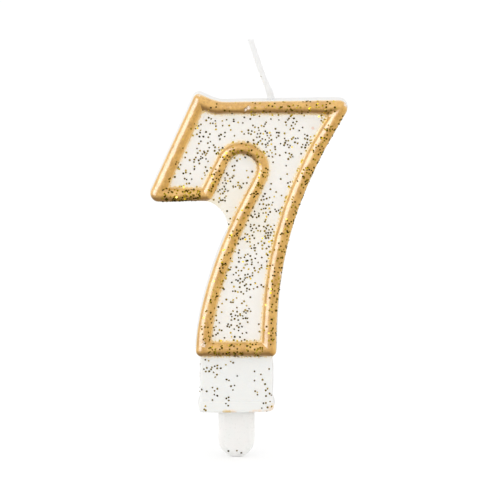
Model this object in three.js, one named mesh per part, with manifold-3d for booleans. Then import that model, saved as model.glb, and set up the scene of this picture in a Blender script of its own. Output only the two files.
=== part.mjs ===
// Number birthday candle: a cast wax 7 with a raised gold outline on its front, a waxed wick
// that leans out of its top edge, and a flat plastic pick that stands in a slot in its base.
// Millimetres. Every piece is drawn upright and facing the viewer (x right, y up, z to the
// front); the group is then turned so that +Z is up and the numeral faces -Y.
// The origin is on the pick's centre line, level with the underside of the wax base.
import * as THREE from "three";
import { mergeVertices } from "three/addons/utils/BufferGeometryUtils.js";
import Module from "manifold-3d";

// Cast wax numeral and its base block
const PLATE_DEPTH = 8;
const PANEL_Z = PLATE_DEPTH / 2;
const TOP_EDGE = 83;
const NUMERAL_FOOT = 15;
const BASE_WIDTH = 19.3;
const BASE_OVERLAP = 1;
const LIP = { width: 20.2, height: 3, depth: 8.6, corner: 1.2, bevel: 0.4 };
const WEB_ARC = { x: -9.8, y: 49.3, radius: 7.5 };

// Gold outline, a half-round bead on the panel's edge
const BEAD_HEIGHT = 1.8;
const BEAD_WALL = 0.6;
const BEAD_ROUND = 1.2;

// Plastic pick: a blade that goes in the cake, and a tang that stands in the base's slot
const PICK = { width: 9.6, depth: 2.4, blade: 12.4, tang: 14, chamfer: 1, bevel: 1.4, bevelDepth: 0.6 };
const SLOT_GAP = 0.3;

// Wick: an embedded run in a slanted bore, and the free tail that bends at the top edge
const WICK_RADIUS = 0.6;
const WICK_SIDES = 12;
const WICK_GAP = 0.1;
const WICK_TOP = new THREE.Vector2(9.2, TOP_EDGE - WICK_GAP);
const WICK_FOOT = new THREE.Vector2(0.5, 17);
const BEND_HEIGHT = 0.8;
const TAIL_MIDDLE = new THREE.Vector3(6.9, 90.6, 0);
const TAIL_TIP = new THREE.Vector3(3.7, 99.2, 0);
const TAIL_STEPS = 8;

const CURVE_SEGMENTS = 10;

// Outer edge of the numeral, anticlockwise from the top left peak. round is the corner's radius;
// curve holds the two handles of a cubic stretch to the next corner, where that isn't straight.
const OUTER_EDGE = [
  { at: [-10.6, 85.5], round: 1.6 },
  { at: [-24.2, 56.6], round: 2.8 },
  { at: [-6.8, 56.7], round: 2.2 },
  { at: [-2.1, 66.7], curve: [[0.1, 71.4], [7.2, 68]] },
  { at: [4.9, 63.3] },
  { at: [1.9, 57.5], curve: [[-5.2, 43], [-10.6, 28]] },
  { at: [-11.1, NUMERAL_FOOT], round: 1.6 },
  { at: [10.6, NUMERAL_FOOT], round: 1.6, curve: [[10.6, 34], [12.5, 50]] },
  { at: [24.4, 72] },
  { at: [30.9, TOP_EDGE], round: 1.6 },
  { at: [-4.5, 82.9], round: 12 },
];

// Inner edge of the gold outline, from the same peak and with the same stretches.
const INNER_EDGE = [
  { at: [-9, 80.4] },
  { at: [-18.2, 60.2] },
  { at: [-9.2, 60.1] },
  { at: [-5, 68.1], curve: [[-0.9, 76.6], [11.9, 70.4]] },
  { at: [7.8, 61.9] },
  { at: [5.5, 57.2], curve: [[-0.8, 44.7], [-6.2, 30]] },
  { at: [-6.5, 18.9] },
  { at: [6.7, 19], curve: [[6.8, 36], [9.5, 51.4]] },
  { at: [19.4, 71] },
  { at: [23.4, 79.4] },
  { at: [-5, 79.75], round: 12 },
];

const WAX = new THREE.MeshStandardMaterial({ color: 0xf0ede8, roughness: 0.45, metalness: 0 });
const GOLD = new THREE.MeshStandardMaterial({ color: 0xc9974a, roughness: 0.32, metalness: 0.8 });
const PLASTIC = new THREE.MeshStandardMaterial({ color: 0xf4f2ee, roughness: 0.35, metalness: 0 });
const WAXED_COTTON = new THREE.MeshStandardMaterial({ color: 0xf5f3f0, roughness: 0.7, metalness: 0 });

const wasm = await Module();
wasm.setup();

function toSolid(geometry) {
  const bare = geometry.clone();
  bare.deleteAttribute("normal");
  bare.deleteAttribute("uv");
  const merged = mergeVertices(bare);
  const mesh = new wasm.Mesh({
    numProp: 3,
    vertProperties: merged.attributes.position.array,
    triVerts: new Uint32Array(merged.index.array),
  });
  return new wasm.Manifold(mesh);
}

function toGeometry(solid) {
  const { vertProperties, triVerts } = solid.getMesh();
  const geometry = new THREE.BufferGeometry();
  geometry.setAttribute("position", new THREE.BufferAttribute(vertProperties, 3));
  geometry.setIndex(new THREE.BufferAttribute(triVerts, 1));
  geometry.computeVertexNormals();
  return geometry;
}

// Turns a path at a corner on an arc, and leaves it at the arc's end.
function roundCorner(path, corner, toPrevious, toNext, radius) {
  const half = Math.acos(toPrevious.dot(toNext)) / 2;
  const bisector = toPrevious.clone().add(toNext).normalize();
  const centre = corner.clone().addScaledVector(bisector, radius / Math.sin(half));
  const cut = radius / Math.tan(half);
  const start = corner.clone().addScaledVector(toPrevious, cut).sub(centre);
  const end = corner.clone().addScaledVector(toNext, cut).sub(centre);
  const clockwise = start.cross(end) < 0;
  path.absarc(centre.x, centre.y, radius, start.angle(), end.angle(), clockwise);
}

// Follows a list of corners. A stretch ends where the next corner's arc begins.
function traceEdge(corners, path) {
  const count = corners.length;
  const points = corners.map((corner) => new THREE.Vector2(...corner.at));
  const handles = corners.map((corner) => corner.curve?.map((handle) => new THREE.Vector2(...handle)));
  const sides = points.map((point, i) => {
    const before = handles[(i + count - 1) % count]?.[1] ?? points[(i + count - 1) % count];
    const after = handles[i]?.[0] ?? points[(i + 1) % count];
    return [before.clone().sub(point).normalize(), after.clone().sub(point).normalize()];
  });
  const arcStart = (i) => {
    const half = Math.acos(sides[i][0].dot(sides[i][1])) / 2;
    return points[i].clone().addScaledVector(sides[i][0], (corners[i].round ?? 0) / Math.tan(half));
  };
  path.moveTo(arcStart(0).x, arcStart(0).y);
  corners.forEach((corner, i) => {
    if (corner.round) roundCorner(path, points[i], ...sides[i], corner.round);
    const end = i + 1 < count ? arcStart(i + 1) : arcStart(0);
    if (handles[i]) path.bezierCurveTo(...handles[i][0], ...handles[i][1], ...end);
    else path.lineTo(...end);
  });
  return path;
}

// Extrudes an outline from z = from to z = to, with square edges.
function slab(shape, from, to) {
  const settings = { depth: to - from, bevelEnabled: false, curveSegments: CURVE_SEGMENTS };
  return new THREE.ExtrudeGeometry(shape, settings).translate(0, 0, from);
}

// The wax that fills the crook under the arch, down to its free concave edge.
function webShape() {
  const arc = WEB_ARC;
  const shape = new THREE.Shape();
  shape.absarc(arc.x, arc.y, arc.radius, 1.3, 0, true);
  shape.lineTo(-1, 49.3);
  shape.lineTo(7.2, 66);
  shape.lineTo(5, 70);
  shape.lineTo(0, 71);
  shape.lineTo(-3.5, 69);
  shape.lineTo(-8.5, 58.5);
  return shape;
}

// A flat lip runs round the foot of the base block.
function lipGeometry() {
  const half = LIP.width / 2 - LIP.bevel;
  const shape = new THREE.Shape();
  shape.moveTo(-half, LIP.height - LIP.bevel);
  shape.absarc(-half + LIP.corner, LIP.bevel + LIP.corner, LIP.corner, Math.PI, 1.5 * Math.PI, false);
  shape.absarc(half - LIP.corner, LIP.bevel + LIP.corner, LIP.corner, -0.5 * Math.PI, 0, false);
  shape.lineTo(half, LIP.height - LIP.bevel);
  const bevel = { bevelSize: LIP.bevel, bevelThickness: LIP.bevel, bevelSegments: 1 };
  const depth = LIP.depth - 2 * LIP.bevel;
  return new THREE.ExtrudeGeometry(shape, { depth, curveSegments: 3, ...bevel }).translate(0, 0, -depth / 2);
}

// A straight cylinder along the wick's line, lengthened by extra at its top end.
function wickRun(radius, extra) {
  const line = WICK_TOP.clone().sub(WICK_FOOT);
  const length = line.length() + extra;
  return new THREE.CylinderGeometry(radius, radius, length, WICK_SIDES)
    .translate(0, length / 2, 0)
    .rotateZ(line.angle() - Math.PI / 2)
    .translate(WICK_FOOT.x, WICK_FOOT.y, 0);
}

function numeralBody() {
  const baseHeight = NUMERAL_FOOT + BASE_OVERLAP - LIP.bevel;
  const base = new THREE.BoxGeometry(BASE_WIDTH, baseHeight, PLATE_DEPTH);
  base.translate(0, LIP.bevel + baseHeight / 2, 0);
  const slotHeight = 2 * (PICK.tang + SLOT_GAP);
  const slot = new THREE.BoxGeometry(PICK.width + 2 * SLOT_GAP, slotHeight, PICK.depth + 2 * SLOT_GAP);
  const bore = wickRun(WICK_RADIUS + WICK_GAP, 2).translate(0, -WICK_GAP, 0);
  const solid = toSolid(slab(traceEdge(OUTER_EDGE, new THREE.Shape()), -PANEL_Z, PANEL_Z))
    .add(toSolid(slab(webShape(), -PANEL_Z, PANEL_Z)))
    .add(toSolid(base))
    .add(toSolid(lipGeometry()))
    .subtract(toSolid(slot))
    .subtract(toSolid(bore));
  return new THREE.Mesh(toGeometry(solid), WAX);
}

// The bead is rounded on both faces, and only the half in front of the panel is kept.
function goldOutline() {
  const ring = traceEdge(OUTER_EDGE, new THREE.Shape());
  ring.holes.push(traceEdge(INNER_EDGE, new THREE.Path()));
  const bead = new THREE.ExtrudeGeometry(ring, {
    depth: 2 * BEAD_WALL,
    bevelThickness: BEAD_ROUND,
    bevelSize: BEAD_ROUND,
    bevelOffset: -BEAD_ROUND,
    bevelSegments: 3,
    curveSegments: CURVE_SEGMENTS,
  }).translate(0, 0, PANEL_Z - BEAD_WALL);
  const behind = new THREE.BoxGeometry(100, 100, 2 * BEAD_HEIGHT);
  behind.translate(0, TOP_EDGE / 2, PANEL_Z - BEAD_HEIGHT);
  return new THREE.Mesh(toGeometry(toSolid(bead).subtract(toSolid(behind))), GOLD);
}

function pick() {
  const half = PICK.width / 2 - PICK.bevel;
  const top = PICK.tang - PICK.bevel;
  const shape = new THREE.Shape();
  shape.absarc(0, PICK.width / 2 - PICK.blade, half, Math.PI, 2 * Math.PI, false);
  shape.lineTo(half, top - PICK.chamfer);
  shape.lineTo(half - PICK.chamfer, top);
  shape.lineTo(PICK.chamfer - half, top);
  shape.lineTo(-half, top - PICK.chamfer);
  const depth = PICK.depth - 2 * PICK.bevelDepth;
  const bevel = { bevelSize: PICK.bevel, bevelThickness: PICK.bevelDepth, bevelSegments: 1 };
  const blade = new THREE.ExtrudeGeometry(shape, { depth, curveSegments: 2 * CURVE_SEGMENTS, ...bevel });
  return new THREE.Mesh(blade.translate(0, 0, -depth / 2), PLASTIC);
}

// The tail's root is a ball on the bend's axis, so the tail turns without touching the wax.
function wickTail() {
  const root = new THREE.Vector3(WICK_TOP.x, TOP_EDGE + BEND_HEIGHT, 0);
  const section = new THREE.Shape().absarc(0, 0, WICK_RADIUS, 0, 2 * Math.PI, false);
  const tube = new THREE.ExtrudeGeometry(section, {
    extrudePath: new THREE.QuadraticBezierCurve3(root, TAIL_MIDDLE, TAIL_TIP),
    steps: TAIL_STEPS,
    curveSegments: WICK_SIDES,
  });
  const ball = new THREE.SphereGeometry(WICK_RADIUS, WICK_SIDES, WICK_SIDES / 2);
  ball.translate(root.x, root.y, root.z);
  return new THREE.Mesh(toGeometry(toSolid(tube).add(toSolid(ball))), WAXED_COTTON);
}

const pieces = {
  pick: pick(),
  numeral_body: numeralBody(),
  gold_outline: goldOutline(),
  wick_core: new THREE.Mesh(wickRun(WICK_RADIUS, 0), WAXED_COTTON),
  wick_tail: wickTail(),
};

const group = new THREE.Group();
for (const [name, mesh] of Object.entries(pieces)) {
  mesh.name = name;
  group.add(mesh);
}
group.rotation.x = Math.PI / 2;

export default group;
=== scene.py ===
import itertools
import math
import random

import bmesh
import bpy
import numpy as np
from mathutils import Matrix, Vector, geometry, noise
from mathutils.bvhtree import BVHTree
from mathutils.kdtree import KDTree


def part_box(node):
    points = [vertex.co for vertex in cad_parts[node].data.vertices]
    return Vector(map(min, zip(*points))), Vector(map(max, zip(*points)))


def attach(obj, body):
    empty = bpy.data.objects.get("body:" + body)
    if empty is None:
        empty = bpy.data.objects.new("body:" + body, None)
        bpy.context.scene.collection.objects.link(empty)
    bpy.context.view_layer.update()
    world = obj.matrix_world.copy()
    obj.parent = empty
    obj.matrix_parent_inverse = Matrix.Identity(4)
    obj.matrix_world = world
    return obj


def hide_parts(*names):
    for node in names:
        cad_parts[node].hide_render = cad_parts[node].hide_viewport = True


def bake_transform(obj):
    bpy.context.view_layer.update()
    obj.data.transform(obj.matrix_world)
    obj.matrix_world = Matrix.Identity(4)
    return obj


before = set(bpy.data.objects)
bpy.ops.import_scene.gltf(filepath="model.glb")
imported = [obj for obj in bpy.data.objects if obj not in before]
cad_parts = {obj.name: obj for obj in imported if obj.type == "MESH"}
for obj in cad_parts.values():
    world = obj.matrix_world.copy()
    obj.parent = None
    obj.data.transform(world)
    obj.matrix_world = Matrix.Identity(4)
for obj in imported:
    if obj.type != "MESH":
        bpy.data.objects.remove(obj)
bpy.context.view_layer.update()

# Lengths are in millimetres in the CAD's frame (x right, y back, z up) until a mesh is made,
# and the studio's are in metres.
MM = 0.001
BEAD_LOW, BEAD_HIGH = (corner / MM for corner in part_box("gold_outline"))
PICK_LOW, PICK_HIGH = (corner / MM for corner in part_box("pick"))
BODY_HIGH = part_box("numeral_body")[1] / MM
# the front face of the wax, and how far the bead stands off it
PANEL_Y = BEAD_HIGH.y
BEAD_HEIGHT = BEAD_HIGH.y - BEAD_LOW.y
HALF_DEPTH = -PANEL_Y

# Centre line of the gold bead, anticlockwise from the top left peak: place, half width, and
# at a mitred corner the outer and inner radius. curve holds the handles to the next place.
CENTRE_LINE = [
    {"at": (-9.8, 83.0), "half": 1.8, "mitre": (1.4, 0.25)},
    {"at": (-21.05, 58.25), "half": 1.9, "mitre": (2.2, 0.5)},
    {"at": (-7.9, 58.25), "half": 1.7, "mitre": (2.3, 0.2)},
    {"at": (-3.55, 67.4), "half": 1.6, "curve": ((-0.4, 74.0), (9.55, 69.2))},
    {"at": (6.35, 62.6), "half": 1.6},
    {"at": (3.7, 57.35), "half": 1.75, "curve": ((-2.9, 44.4), (-8.4, 29.0))},
    {"at": (-8.8, 16.95), "half": 1.95, "mitre": (1.5, 0.9)},
    {"at": (8.65, 17.0), "half": 1.95, "mitre": (1.5, 0.35), "curve": ((8.7, 35.0), (11.2, 51.2))},
    {"at": (21.9, 71.5), "half": 1.9},
    {"at": (27.8, 81.5), "half": 1.8, "mitre": (2.2, 1.0)},
    {"at": (-3.6, 81.25), "half": 1.58, "curve": ((-5.6, 81.2), (-6.9, 81.7))},
]
# at a mitre: the ridge's radius, the steps round it, and how far along the width holds
RIDGE_RADIUS, FAN_STEPS, CORNER_HOLD = 0.15, 10, 4.0
# the spacing of the points along the bead
ARM_STEP = 0.35
# how far the noise field moves for each seed
SEED_SHIFT = (7.3, 3.1, 5.7)


def smooth_step(t):
    t = np.clip(t, 0, 1)
    return t * t * (3 - 2 * t)


def unit(v):
    return v / np.linalg.norm(v)


def units(rows):
    return rows / np.linalg.norm(rows, axis=1)[:, None]


def right_of(direction):
    """Directions turned a quarter to the right."""
    return np.stack([direction[..., 1], -direction[..., 0]], axis=-1)


def cubic(points, count):
    """count points of a cubic, without its last."""
    a, b, c, d = (np.array(p, float) for p in points)
    t = np.linspace(0, 1, count, endpoint=False)[:, None]
    return (1 - t) ** 3 * a + 3 * (1 - t) ** 2 * t * b + 3 * (1 - t) * t**2 * c + t**3 * d


class Arm:
    """One run of the bead between two mitred corners."""

    def __init__(self, places):
        points, halves, marks = [], [], []
        for here, there in zip(places, places[1:]):
            a, b = np.array(here["at"], float), np.array(there["at"], float)
            handles = here.get("curve") or (a + (b - a) / 3, b - (b - a) / 3)
            count = max(2, round(np.linalg.norm(b - a) / ARM_STEP))
            marks.append(sum(map(len, points)))
            halves.append(here["half"])
            points.append(cubic((a, *handles, b), count))
        marks.append(sum(map(len, points)))
        halves.append(places[-1]["half"])
        self.points = np.vstack([*points, [places[-1]["at"]]])
        step = np.linalg.norm(np.diff(self.points, axis=0), axis=1)
        self.along = np.concatenate([[0], np.cumsum(step)])
        self.length = self.along[-1]
        self.directions = units(np.gradient(self.points, self.along, axis=0))
        self.halves = np.interp(self.along, self.along[marks], halves)
        # the width holds near both corners, so that the mitres of two arms meet
        for start, value in ((self.along, halves[0]), (self.length - self.along, halves[-1])):
            share = smooth_step(start / CORNER_HOLD - 1)
            self.halves = value + (self.halves - value) * share
        self.count = max(3, round(self.length / ARM_STEP))

    def strand(self, side, first, last):
        """The run at side half widths to the right, from first to length - last."""
        s = np.linspace(first, self.length - last, self.count + 1)
        inner = np.clip(s, 0, self.length)

        def at(values):
            return np.column_stack([np.interp(inner, self.along, v) for v in values.T])

        direction = units(at(self.directions))
        centre = at(self.points) + direction * (s - inner)[:, None]
        return centre + right_of(direction) * (at(self.halves[:, None]) * side)


CLOSED_LINE = CENTRE_LINE + CENTRE_LINE[:1]
CORNERS = [i for i, place in enumerate(CLOSED_LINE) if "mitre" in place]
ARMS = [Arm(CLOSED_LINE[a : b + 1]) for a, b in zip(CORNERS, CORNERS[1:])]
MITRES = [CLOSED_LINE[i] for i in CORNERS[:-1]]


def corner_of(index):
    """An arm's first corner: vertex, way in, bisector and half angle."""
    before, after = ARMS[index - 1].directions[-1], ARMS[index].directions[0]
    vertex, half_angle = np.array(MITRES[index]["at"]), math.acos(-before @ after) / 2
    return vertex, before, unit(after - before), half_angle


def corner_radius(index, side):
    """The radius of a mitre at side times the half width."""
    outer, inner = MITRES[index]["mitre"]
    return RIDGE_RADIUS + abs(side) * ((outer if side > 0 else inner) - RIDGE_RADIUS)


def strand(side):
    """A closed line along the bead, at side times its half width: 1 is the outer foot."""
    radii = [corner_radius(i, side) for i in range(len(ARMS))]
    gaps = [radius - place["half"] * side for radius, place in zip(radii, MITRES)]
    reach = [gap / math.tan(corner_of(i)[3]) for i, gap in enumerate(gaps)]
    line = []
    for i, arm in enumerate(ARMS):
        vertex, before, bisector, half_angle = corner_of(i)
        radius = radii[i]
        centre = vertex + bisector * gaps[i] / math.sin(half_angle)
        start = math.atan2(*right_of(before)[::-1])
        turn = math.pi - 2 * half_angle
        for k in range(1, FAN_STEPS):
            angle = start + turn * k / FAN_STEPS
            line.append(centre + radius * np.array([math.cos(angle), math.sin(angle)]))
        line.extend(arm.strand(side, reach[i], reach[(i + 1) % len(ARMS)]))
    return np.array(line)


def wander(points, size, strength, seed):
    """Smooth seeded noise at each point, up to about strength."""
    shift = Vector([seed * step for step in SEED_SHIFT])
    return np.array([noise.noise(Vector(p) / size + shift) for p in points]) * strength


def at_depth(y, places):
    """Rows of x, y, z from rows of x, z and a depth."""
    places = np.asarray(places, float)
    return np.column_stack([places[:, 0], np.broadcast_to(y, len(places)), places[:, 1]])


def ring_faces(rows, columns, close_rows=False):
    """Quads of a grid whose columns close on themselves."""
    faces = []
    for r in range(rows if close_rows else rows - 1):
        below, above = r * columns, (r + 1) % rows * columns
        for c in range(columns):
            d = (c + 1) % columns
            faces.append((below + c, below + d, above + d, above + c))
    return faces


def new_mesh(name, vertices, faces):
    """A mesh from millimetre vertices."""
    mesh = bpy.data.meshes.new(name)
    mesh.from_pydata((np.asarray(vertices) * MM).tolist(), [], faces)
    return mesh


def clean(mesh, weld=0.0, sliver=0.0):
    """Welds vertices, dissolves slivers and turns faces outward."""
    bm = bmesh.new()
    bm.from_mesh(mesh)
    if weld:
        bmesh.ops.remove_doubles(bm, verts=bm.verts, dist=weld * MM)
    if sliver:
        bmesh.ops.dissolve_degenerate(bm, edges=bm.edges, dist=sliver * MM)
    bmesh.ops.recalc_face_normals(bm, faces=bm.faces)
    bm.to_mesh(mesh)
    bm.free()


def add_object(name, data):
    made = bpy.data.objects.new(name, data)
    bpy.context.scene.collection.objects.link(made)
    return made


def make_piece(name, mesh, material, body, replaced, sharp=50):
    """A piece, shaded smooth but for edges sharper than an angle in degrees."""
    clean(mesh, weld=0.004, sliver=0.002)
    mesh.shade_smooth()
    mesh.set_sharp_from_angle(angle=math.radians(sharp))
    piece = add_object(name, mesh)
    mesh.materials.clear()
    mesh.materials.append(material)
    if body:
        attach(piece, body)
    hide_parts(*replaced)
    return piece


# ------------ materials


class Graph:
    """Short ways to add nodes to a node tree."""

    def __init__(self, tree):
        self.tree = tree

    def put(self, socket, value):
        """Links a node's output to a socket, or sets a constant on it."""
        if isinstance(value, bpy.types.NodeSocket):
            self.tree.links.new(value, socket)
        else:
            socket.default_value = value

    def add(self, kind, inputs=(), **settings):
        node = self.tree.nodes.new("ShaderNode" + kind)
        for key, value in settings.items():
            setattr(node, key, value)
        for key, value in dict(inputs).items():
            self.put(node.inputs[key], value)
        return node

    def maths(self, operation, a, b):
        return self.add("Math", {0: a, 1: b}, operation=operation).outputs[0]

    def times(self, a, b):
        return self.maths("MULTIPLY", a, b)

    def most(self, first, *others):
        """The greatest of several values."""
        for other in others:
            first = self.maths("MAXIMUM", first, other)
        return first

    def ramp(self, value, low, high, to_low=0.0, to_high=1.0, kind="SMOOTHSTEP"):
        """Maps value from low to high onto to_low to to_high."""
        inputs = {"Value": value, "From Min": low, "From Max": high}
        inputs.update({"To Min": to_low, "To Max": to_high})
        return self.add("MapRange", inputs, interpolation_type=kind).outputs[0]

    def mix(self, share, a, b):
        """Colour a where share is 0 and colour b where it is 1."""
        node = self.add("Mix", data_type="RGBA")
        self.put(node.inputs["Factor"], share)
        # sockets 6 and 7 take the colours, and output 2 gives the result
        for index, colour in ((6, a), (7, b)):
            self.put(node.inputs[index], (*colour, 1) if isinstance(colour, tuple) else colour)
        return node.outputs[2]

    def layers(self, colour, *layers):
        """A colour with several more laid over it."""
        for share, over in layers:
            colour = self.mix(share, colour, over)
        return colour

    def shades(self, value, stops):
        """A colour ramp through (position, colour) stops."""
        node = self.add("ValToRGB", {"Fac": value})
        elements = node.color_ramp.elements
        elements[0].position, elements[1].position = stops[0][0], stops[-1][0]
        for position, _ in stops[1:-1]:
            elements.new(position)
        for element, (_, colour) in zip(elements, stops):
            element.color = (*colour, 1)
        return node.outputs["Color"]

    def scaled(self, vector, factor):
        node = self.add("VectorMath", {0: vector, "Scale": factor}, operation="SCALE")
        return node.outputs[0]


class Paint(Graph):
    """A material's nodes."""

    def __init__(self, name):
        self.material = bpy.data.materials.new(name)
        self.material.use_nodes = True
        super().__init__(self.material.node_tree)
        self.shader = self.tree.nodes["Principled BSDF"]
        self.place = self.add("TexCoord").outputs["Object"]

    def finish(self, **sockets):
        """Sets the shader's sockets and gives the material."""
        for socket, value in sockets.items():
            self.put(self.shader.inputs[socket.replace("_", " ")], value)
        return self.material

    def noise(self, size, detail=2.0, roughness=0.5):
        """Noise from about 0 to 1, its size in millimetres."""
        inputs = {"Vector": self.place, "Scale": 1 / (size * MM)}
        inputs.update({"Detail": detail, "Roughness": roughness})
        return self.add("TexNoise", inputs).outputs["Fac"]

    def blotch(self, x, y, z, radius, rough=0.35, grain=0.6):
        """1 inside an uneven patch round a point, 0 away from it."""
        centre = (x * MM, y * MM, z * MM)
        distance = self.add("VectorMath", {0: self.place, 1: centre}, operation="DISTANCE")
        edge = self.ramp(self.noise(grain), 0.2, 0.8, 1 - rough, 1 + rough)
        away = self.maths("DIVIDE", distance.outputs["Value"], self.times(edge, radius * MM))
        return self.ramp(away, 1.15, 0.85)

    def bump(self, height, distance, strength):
        inputs = {"Height": height, "Distance": distance * MM, "Strength": strength}
        return self.add("Bump", inputs).outputs["Normal"]


GOLD_LIGHT, GOLD_MID, GOLD_DEEP = (0.76, 0.42, 0.065), (0.62, 0.31, 0.03), (0.26, 0.12, 0.008)
# the lacquer between its clots, a painted sheen on the slopes that face right, a painted highlight
# on the shoulders, and where wax shines through it
GOLD_BRIGHT, GOLD_SHEEN = (0.9, 0.6, 0.16), (0.88, 0.52, 0.11)
GOLD_HIGHLIGHT, GOLD_AT_FOOT = (0.66, 0.54, 0.43), (0.95, 0.7, 0.32)
# the chips' dark rims, and bare wax, whose colour also paints the pale highlights
CHIP_RIM, BARE_WAX_AND_HIGHLIGHT = (0.2, 0.1, 0.03), (0.92, 0.8, 0.7)
GOLD_METALLIC = 0.18
# the way that the shoulders with the painted highlight face
HIGHLIGHT_FACING = (-0.39, -0.9, 0.19)
# the depths over which it thins at its foot
FOOT_FADE = (-4.95, -4.4)
# chips in the top bar, and the radii of their bare wax and dark rim
CHIPS, CHIP_Y = [(2.45, 80.85), (3.15, 81.35)], -5.6
CHIP_RADIUS, CHIP_RIM_RADIUS = 0.36, 0.62
# pale spots, partly wear and partly painted highlights: x, y, z and radius
WORN_AND_HIGHLIT = [(28.9, -4.9, 82.2, 0.55), (23.6, -5.2, 75.9, 0.45), (11.9, -5.0, 37.4, 0.45)]
WORN_AND_HIGHLIT += [(-9.7, -4.7, 84.4, 0.45), (-8.6, -5.5, 18.5, 0.6)]


def gold_colour(g, grain, clots):
    """The lacquer's colour where it is whole."""
    normal = g.add("TexCoord").outputs["Normal"]
    facing = g.add("SeparateXYZ", {0: normal}).outputs
    # painted sheen: paler on the slopes that face right; painted shade: darker on the slopes that
    # face down, less where they also face right
    under = g.maths("ADD", facing["Z"], g.times(g.most(facing["X"], 0.0), 0.8))
    # painted highlight: paler on the shoulders that face left, forward and a little up
    shoulder = g.add("VectorMath", {0: normal, 1: HIGHLIGHT_FACING}, operation="DOT_PRODUCT")
    painted_highlight = g.ramp(shoulder.outputs["Value"], 0.9, 0.99, 0, 0.5)
    depth = g.add("SeparateXYZ", {0: g.place}).outputs["Y"]
    return g.layers(
        g.mix(g.ramp(g.noise(2.2, 3), 0.35, 0.65), GOLD_MID, GOLD_LIGHT),
        (g.ramp(clots, 0.5, 0.66, 0, 0.3), GOLD_DEEP),
        (g.ramp(clots, 0.42, 0.3, 0, 0.3), GOLD_BRIGHT),
        (g.ramp(grain, 0.52, 0.74, 0, 0.4), GOLD_DEEP),
        # painted sheen on the slopes that face right
        (g.ramp(facing["X"], 0.25, 0.85, 0, 0.55), GOLD_SHEEN),
        # painted shade on the slopes that face down
        (g.ramp(under, 0.05, -0.55, 0, 0.9), GOLD_DEEP),
        # painted highlight on the shoulders, broken up by the clots
        (g.times(painted_highlight, g.ramp(clots, 0.38, 0.6, 1, 0.55)), GOLD_HIGHLIGHT),
        (g.ramp(depth, FOOT_FADE[0] * MM, FOOT_FADE[1] * MM, 0, 0.75), GOLD_AT_FOOT),
    )


def gold_wear_and_highlights(g):
    """How bare the wax is, from 0 to 1, with pale spots that are partly painted highlights, and the
    dark rims round the chips.
    """
    chip = g.most(*(g.blotch(x, CHIP_Y, z, CHIP_RADIUS, 0.7, 0.3) for x, z in CHIPS))
    # pale spots: partly wear, partly painted highlights
    worn_and_highlit = g.most(*(g.blotch(*spot, 0.8, 0.4) for spot in WORN_AND_HIGHLIT))
    rim = g.most(*(g.blotch(x, CHIP_Y, z, CHIP_RIM_RADIUS, 0.6, 0.3) for x, z in CHIPS))
    scrapes = g.ramp(g.noise(0.9, 4, 0.7), 0.735, 0.76)
    bare_and_highlit = g.most(g.times(chip, 0.75), scrapes, g.times(worn_and_highlit, 0.7))
    return bare_and_highlit, g.maths("SUBTRACT", rim, chip)


def gold_material():
    g = Paint("gold_lacquer")
    grain = g.noise(0.16, 2, 0.6)
    clots = g.noise(0.5, 3, 0.6)
    bare_and_highlit, rim = gold_wear_and_highlights(g)
    paint = g.mix(g.times(rim, 0.6), gold_colour(g, grain, clots), CHIP_RIM)
    height = g.maths("ADD", g.times(clots, 2.0), grain)
    return g.finish(
        Coat_Weight=1.0,
        Coat_Roughness=0.2,
        Coat_IOR=1.8,
        # bare wax where chipped or worn, and painted highlights in the same colour
        Base_Color=g.mix(bare_and_highlit, paint, BARE_WAX_AND_HIGHLIGHT),
        Metallic=g.maths("SUBTRACT", GOLD_METALLIC, g.times(bare_and_highlit, GOLD_METALLIC)),
        Roughness=g.ramp(grain, 0.3, 0.7, 0.4, 0.56),
        Normal=g.bump(g.maths("SUBTRACT", height, g.times(bare_and_highlit, 1.5)), 0.045, 0.62),
    )


# the wax in two tones, and painted shade: the same wax darker on the base, and on the walls and the
# back
WAX_WHITE, WAX_WARM = (0.855, 0.83, 0.785), (0.84, 0.812, 0.76)
SHADED_BASE_WAX, SHADED_WALL_WAX = (0.8, 0.8, 0.775), (0.79, 0.782, 0.76)
# painted light reflected off the bead onto the wax beside it, the wax in the web, a blush, a stain,
# and paint that bled or crept
BOUNCE_TONE, WEB_TONE = (0.98, 0.9, 0.74), (0.84, 0.77, 0.62)
BLUSH_TONE, STAIN_TONE = (0.8, 0.5, 0.38), (0.82, 0.72, 0.45)
BLEED_TONE, CREEP_TONE = (0.84, 0.63, 0.44), (0.84, 0.58, 0.15)
# heights or depths between which the painted shade of the base and of the walls, and the painted
# reflected light by the bead, come in
BASE_FADE, WALL_FADE, BOUNCE_FADE = (19.0, 14.5), (-3.9, -3.0), (14.2, 15.4)
# patches on the wax: x, y, z and radius
CORNER_PATCH = (22.9, -4.0, 79.0, 1.7)
EDGE_SPOT, EDGE_BLEED = (-2.5, -4.3, 0.2, 1.1), (10.0, -4.2, 1.0, 1.3)
EDGE_LINE = [(-1.5, -4.3, 0.1, 1.5), (6.4, -4.3, 0.1, 3.2)]
BLUSH_PATCH, STAIN_PATCH = (20.2, -4.0, 75.9, 0.5), (-6.0, -4.0, 55.6, 1.9)
WEB_PATCHES = [(-2.5, -4.0, 57.0, 6.5), (3.8, -4.0, 50.0, 6.0)]


def crept_paint(g, foot):
    """Gold that crept off the bead's feet, most of all inside the top right corner."""
    corner = g.blotch(*CORNER_PATCH, 0.5, 0.8)
    reach = g.maths("ADD", 0.55, g.times(corner, 0.9))
    near = g.ramp(g.maths("DIVIDE", foot, reach), 1.0, 0.1)
    creep = g.times(near, g.ramp(g.noise(0.55, 3), 0.5, 0.6))
    return g.most(creep, g.ramp(foot, 0.08, 0.02))


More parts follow.
